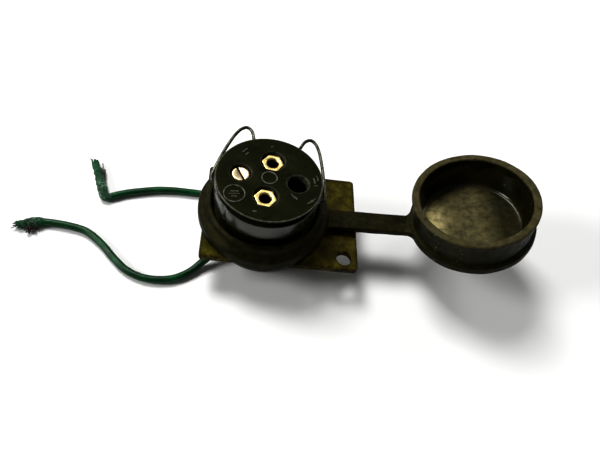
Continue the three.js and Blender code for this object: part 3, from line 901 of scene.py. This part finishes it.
def make_screw():
    bm = bmesh.new()
    corners = [
        (0, SCREW_END, 0), (SCREW_SHANK - 0.0004, SCREW_END, 0), (SCREW_SHANK, SCREW_END + 0.0005, 0),
        (SCREW_SHANK, SCREW_SEAT, 0), (SCREW_HEAD, SCREW_SEAT, 0.0001), (SCREW_HEAD, SCREW_TOP, 0.0004),
        (0, SCREW_TOP, 0),
    ]
    turned(bm, rounded(corners), 64, screw_place)
    piece = link(mesh_of(bm, "slotted_screw", 35), "slotted_screw", pale_brass)
    slot = bmesh.new()
    bmesh.ops.create_cube(slot, size=1, matrix=Matrix.Translation((*screw_place, SCREW_TOP))
                          @ Matrix.Rotation(SLOT_TURN, 4, "Z") @ Matrix.Diagonal((*SLOT_SIZE, 1)))
    cut(piece, link(mesh_of(slot, "slot"), "slot", pale_brass))
    recess_shade = piece.data.attributes.new("recess_shade", "FLOAT", "POINT")
    # painted shade: the slot's floor and the head's lower side are marked for darkening
    for vert in piece.data.vertices:
        recess_shade.data[vert.index].value = 1.0 if vert.co.z < SCREW_TOP - 0.0009 else 0.0
    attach(piece, "outlet")
    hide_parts("cover_screw")


def raised_ring(bm, radius, centre):
    low, top = FACE_TOP - 0.0002, FACE_TOP + MARK_HEIGHT
    inside, outside = radius - MARK_WIDTH / 2, radius + MARK_WIDTH / 2
    corners = [(inside, low, 0), (inside, top, 0.00018), (outside, top, 0.00018), (outside, low, 0)]
    profile = rounded(corners, steps=3)
    turned(bm, profile + profile[:1], 56, centre)


def raised_bar(bm, centre, length, turn):
    place = Matrix.Translation((*centre, FACE_TOP)) @ Matrix.Rotation(turn, 4, "Z")
    size = Matrix.Diagonal((length, MARK_WIDTH, 2 * MARK_HEIGHT, 1))
    bar = bmesh.ops.create_cube(bm, size=1, matrix=place @ size)
    edges = list({edge for vert in bar["verts"] for edge in vert.link_edges})
    bmesh.ops.bevel(bm, geom=edges, offset=0.00012, segments=2, affect="EDGES")


def make_marks():
    """Plain raised rings and bars on the face, where the real one has moulded marks. They are paled all over
    as a painted highlight for their glints.
    """
    bm = bmesh.new()
    wear_and_glint = bm.verts.layers.float.new("wear_and_glint")
    raised_ring(bm, SIDE_RING, SIDE_RING_PLACE)
    ring_x, ring_y = SIDE_RING_PLACE
    for row, length in ((0.0011, 0.0034), (-0.0002, 0.0044), (-0.0015, 0.0024)):
        raised_bar(bm, (ring_x, ring_y + row), length, SIDE_RING_TURN)
    raised_ring(bm, CENTRE_RING, CENTRE_RING_PLACE)
    for x, y, length, turn in FACE_BARS:
        raised_bar(bm, (x, y), length, turn)
    # painted highlight: the whole of each mark is paled for its glints
    for vert in bm.verts:
        vert[wear_and_glint] = 1.0
    piece = link(mesh_of(bm, "face_marks", 40), "face_marks", face_bakelite)
    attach(piece, "outlet")


make_face()
make_body()
for index, contact in enumerate(contacts):
    make_sleeve(index + 1, contact)
make_screw()
make_marks()

# ---------------------------------------------------------------- rubber: boot, strap and cap


def boot_droop(point):
    """How far the flange sags where it hangs over the plate's front and back edges."""
    return BOOT_SAG * max(0, abs(point.y) - plate_hi.y)


def add_boot(bm):
    bottom = boot_lo.z
    corners = [
        (BOOT_BORE, bottom, 0), (BOOT_RADIUS - 0.0001, bottom, 0.0006),
        (BOOT_RADIUS - 0.0001, 0.0079, 0.0004),
        (0.0282, 0.0089, 0.0003), (0.0264, 0.0096, 0.0006), (0.0257, 0.0104, 0.0006),
        (0.0255, 0.0123, 0.0004), (0.0236, 0.0126, 0.0006), (0.0230, 0.0118, 0.0004),
        (0.0226, 0.0104, 0), (0.0226, 0.0088, 0), (BOOT_BORE, 0.0088, 0),
    ]
    profile = rounded(corners)
    rows = turned(bm, profile + profile[:1], 160)
    for vert in {vert for row in rows for vert in row}:
        vert.co.z -= boot_droop(vert.co)


def cap_matrix():
    across = Vector((0, 1, 0)) - CAP_AXIS * CAP_AXIS.y
    across.normalize()
    matrix = Matrix((across.cross(CAP_AXIS), across, CAP_AXIS)).transposed().to_4x4()
    matrix.translation = CAP_BASE
    return matrix


def add_cap(bm, place):
    corners = [
        (0, 0.0001, 0), (0.0272, 0.0001, 0), (CAP_FLANGE, 0.0005, 0.0004),
        (CAP_FLANGE, FLANGE_THICKNESS - 0.0003, 0.0006),
        (0.0268, FLANGE_THICKNESS, 0.0003), (0.0257, FLANGE_THICKNESS + 0.0001, 0.0004),
        (0.0260, 0.0075, 0.002), (0.0266, 0.0140, 0.002), (0.0271, 0.0166, 0.0008),
        (0.0271, CAP_HEIGHT, 0.0006), (CAP_MOUTH, CAP_HEIGHT, 0.0006), (0.0233, 0.0064, 0.002),
        (0.0223, 0.0026, 0.0034), (0.0180, 0.0026, 0.002), (0, 0.0028, 0),
    ]
    turned(bm, rounded(corners), 160, place=place)


def add_bar(bm, sections):
    """A bar with rounded edges. A section is (centre, width direction, up direction, width, thickness)."""
    rows = []
    for centre, across, up, width, thickness in sections:
        w, h = width / 2, thickness / 2
        corners = [(-w, -h, 0.0007), (w, -h, 0.0007), (w, h, 0.0007), (-w, h, 0.0007)]
        outline = rounded(corners, closed=True, steps=3)
        rows.append([bm.verts.new(centre + p.x * across + p.y * up) for p in outline])
    bridge(bm, rows)
    bm.faces.new(rows[0])
    bm.faces.new(rows[-1])


def add_strap(bm):
    across = Vector((0, 1, 0))
    up = Vector((0, 0, 1))
    inside = Vector((0.0225, STRAP_Y, ROOT_HINGE.z))
    rise = (CAP_HINGE - ROOT_HINGE).normalized().cross(across).normalized()
    lift = rise if rise.z > 0 else -rise
    sections = [(inside, across, up, STRAP_WIDTH + 0.0016, STRAP_THICKNESS),
                (Vector((0.0287, STRAP_Y, ROOT_HINGE.z)), across, up, STRAP_WIDTH + 0.0012, STRAP_THICKNESS),
                (ROOT_HINGE, across, up, STRAP_WIDTH, STRAP_THICKNESS),
                (CAP_HINGE, across, lift, STRAP_WIDTH, STRAP_THICKNESS)]
    add_bar(bm, sections)


def add_flare(bm, place):
    """The strap's end, which widens into the cap's flange, from the hinge to inside the wall."""
    hinge = place.inverted() @ CAP_HINGE
    turn = place.to_3x3()
    across, up = turn @ Vector((0, 1, 0)), turn @ Vector((0, 0, 1))
    touch = Vector((CAP_FLANGE * math.cos(FLARE_TOUCH), CAP_FLANGE * math.sin(FLARE_TOUCH)))
    sections = []
    steps = 10
    for k in range(steps + 1):
        t = k / steps
        x = hinge.x - 0.0008 + (touch.x - hinge.x + 0.0008) * t
        half = STRAP_WIDTH / 2 + (touch.y - STRAP_WIDTH / 2) * (1 - math.cos(t * math.pi / 2)) ** 1.15
        centre = place @ Vector((x, hinge.y * (1 - t), hinge.z + 0.0002 * t))
        sections.append((centre, across, up, 2 * half, STRAP_THICKNESS + 0.0004 * t))
    add_bar(bm, sections)


def remeshed(bm):
    """One skin round everything in bm, slightly softened."""
    mesh = mesh_of(bm, "rubber_parts")
    piece = bpy.data.objects.new("rubber_parts", mesh)
    bpy.context.scene.collection.objects.link(piece)
    remesh = piece.modifiers.new("skin", "REMESH")
    remesh.mode = "VOXEL"
    remesh.voxel_size = RUBBER_VOXEL
    remesh.use_smooth_shade = True
    soften = piece.modifiers.new("soften", "SMOOTH")
    soften.factor = 0.5
    soften.iterations = 1
    apply_modifiers(piece)
    mesh = piece.data
    bpy.data.objects.remove(piece)
    return mesh


def uneven(mesh):
    """Moves each vertex a little along its normal, as old rubber is never quite true."""
    moves = [noise.noise(vert.co * UNEVEN_SCALE) * UNEVEN_AMOUNT for vert in mesh.vertices]
    normals = [vert.normal.copy() for vert in mesh.vertices]
    for vert, move, normal in zip(mesh.vertices, moves, normals):
        vert.co += normal * move


def mark_cap_inside(mesh, place):
    """Marks the cap's polished inner wall, dust on its rim, and on its floor a painted sheen that fades out
    towards the right as painted shade, with a painted highlight patch at the left.
    """
    to_cap = place.inverted()
    polish = mesh.attributes.new("polish", "FLOAT", "POINT")
    dust_and_sheen = mesh.attributes.new("dust_and_sheen", "FLOAT", "POINT")
    for vert in mesh.vertices:
        spot = to_cap @ vert.co
        radius = math.hypot(spot.x, spot.y)
        if radius > CAP_FLANGE or spot.z < 0.0015:
            continue
        on_floor = max(0, min(1, (CAP_FLOOR_EDGE - radius) / 0.0025))
        if radius < CAP_MOUTH - 0.0002:
            polish.data[vert.index].value = 1 - 0.7 * on_floor
            # painted highlight: a bright patch on the left of the floor
            left = math.exp(-((spot.x + 0.0185) / 0.0062) ** 2 - ((spot.y - 0.0005) / 0.0085) ** 2)
            # painted shade: the floor's paling fades out towards the right
            far = max(0, min(1, (0.0135 - spot.x) / 0.010))
            dust_and_sheen.data[vert.index].value = max(on_floor, left) * far * (0.20 + 1.6 * left)
        elif spot.z > CAP_HEIGHT - 0.0008:
            dust_and_sheen.data[vert.index].value = 0.12


def half_of(mesh, name, plane, direction):
    """The part of a closed mesh on one side of a plane, closed again."""
    bm = bmesh.new()
    bm.from_mesh(mesh)
    seam = bm.verts.layers.float.new("seam")
    geometry = bm.verts[:] + bm.edges[:] + bm.faces[:]
    result = bmesh.ops.bisect_plane(bm, geom=geometry, plane_co=plane, plane_no=direction, clear_outer=True)
    rim = [item for item in result["geom_cut"] if isinstance(item, bmesh.types.BMEdge)]
    bmesh.ops.holes_fill(bm, edges=rim, sides=0)
    bmesh.ops.recalc_face_normals(bm, faces=bm.faces)
    for edge in rim:
        edge.smooth = False
    for face in bm.faces:
        face.smooth = True
    for vert in bm.verts:
        vert[seam] = 1.0 if abs((vert.co - plane).dot(direction)) < 0.0012 else 0.0
    half = bpy.data.meshes.new(name)
    bm.to_mesh(half)
    bm.free()
    return link(half, name, rubber)


def make_rubber_parts():
    place = cap_matrix()
    bm = bmesh.new()
    add_boot(bm)
    add_strap(bm)
    add_cap(bm, place)
    add_flare(bm, place)
    mesh = remeshed(bm)
    uneven(mesh)
    mark_cap_inside(mesh, place)
    middle = ROOT_HINGE.lerp(CAP_HINGE, 0.5)
    along = (CAP_HINGE - ROOT_HINGE).normalized()
    boot = half_of(mesh, "boot_rubber", middle, along)
    cap = half_of(mesh, "cap_rubber", middle, -along)
    bpy.data.meshes.remove(mesh)
    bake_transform(boot)
    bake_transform(cap)
    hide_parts("seal_boot")
    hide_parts("dust_cap", "cap_strap")


make_rubber_parts()

# ---------------------------------------------------------------- wire bail


def make_bail():
    """The bail lies back over the insert's edge. Its halves run from the cross bar to the hooks."""
    half = [
        (0.0086, 0.0239), (0.0103, 0.0249), (0.0112, 0.0272), (0.0124, 0.0294), (0.0146, 0.0306),
        (0.0169, 0.0292), (0.0188, 0.0260), (0.0206, 0.0209), (0.0223, 0.0146), (0.0236, 0.0085),
        (0.0245, 0.0034), (0.0245, 0.0013), (0.0236, 0.00015), (0.0222, 0), (0.0206, 0),
    ]
    arc = [math.radians(angle) for angle in (0, 7, 14)]
    right = [(BAIL_CROSS * math.sin(a), BAIL_CROSS * math.cos(a)) for a in arc] + half
    left = [(-across, out) for across, out in reversed(right[1:])]
    lift = Matrix.Rotation(BAIL_REST, 4, "X")
    place = Matrix.Translation((0, 0, BAIL_PIVOT)) @ Matrix.Rotation(PATTERN_TURN, 4, "Z") @ lift
    route = smooth_route([place @ Vector((across, out, 0)) for across, out in left + right], 0.0006)
    bm = bmesh.new()
    tube(bm, route, BAIL_WIRE, 16)
    piece = link(mesh_of(bm, "spring_wire_bail", 60), "spring_wire_bail", wire_steel)
    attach(piece, "bail")
    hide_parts("bail_wire")


make_bail()

# ---------------------------------------------------------------- parts kept from the CAD model

kept = {
    "rear_cover": bakelite, "retaining_ring": black_steel, "cover_screw_nut": black_steel,
    "lock_washer_1": black_steel, "lock_washer_2": black_steel, "terminal_washer_1": brass,
    "terminal_washer_2": brass, "terminal_nut_1": brass, "terminal_nut_2": brass,
    "lead_eye_1": copper, "lead_eye_2": copper,
}
for node_name, node_material in kept.items():
    node = frame["nodes"][node_name]
    for slot_place in node.material_slots:
        slot_place.material = node_material

# ---------------------------------------------------------------- studio


def make_floor():
    bm = bmesh.new()
    bmesh.ops.create_grid(bm, x_segments=2, y_segments=2, size=2.0)
    mesh = mesh_of(bm, "floor")
    mesh.transform(Matrix.Translation((0, 0, FLOOR_LEVEL - 0.0001)))
    s = Surface("floor")
    s.shader.inputs["Base Color"].default_value = (0.86, 0.86, 0.85, 1)
    s.shader.inputs["Roughness"].default_value = 0.7
    mesh.materials.append(s.material)
    floor = bpy.data.objects.new("floor", mesh)
    bpy.context.scene.collection.objects.link(floor)


def make_softbox(name, place, size, power):
    """A square soft light that faces the origin."""
    data = bpy.data.lights.new(name, "AREA")
    data.shape = "RECTANGLE"
    data.size = data.size_y = size
    data.energy = power
    light = bpy.data.objects.new(name, data)
    bpy.context.scene.collection.objects.link(light)
    way = (-Vector(place)).to_track_quat("-Z", "Y")
    light.matrix_world = Matrix.Translation(place) @ way.to_matrix().to_4x4()


def make_studio():
    world = bpy.data.worlds.new("studio")
    world.use_nodes = True
    background = world.node_tree.nodes["Background"]
    background.inputs["Color"].default_value = (1, 1, 1, 1)
    background.inputs["Strength"].default_value = 0.10
    bpy.context.scene.world = world
    bpy.context.scene.view_settings.view_transform = "Standard"
    bpy.context.scene.view_settings.gamma = 0.8
    make_softbox("key_light", (-0.75, 0.95, 1.75), 0.8, 46)
    make_softbox("left_light", (-1.75, -0.25, 1.0), 0.6, 30)
    make_softbox("right_light", (1.1, 1.1, 1.2), 0.5, 9)
    make_floor()


make_studio()
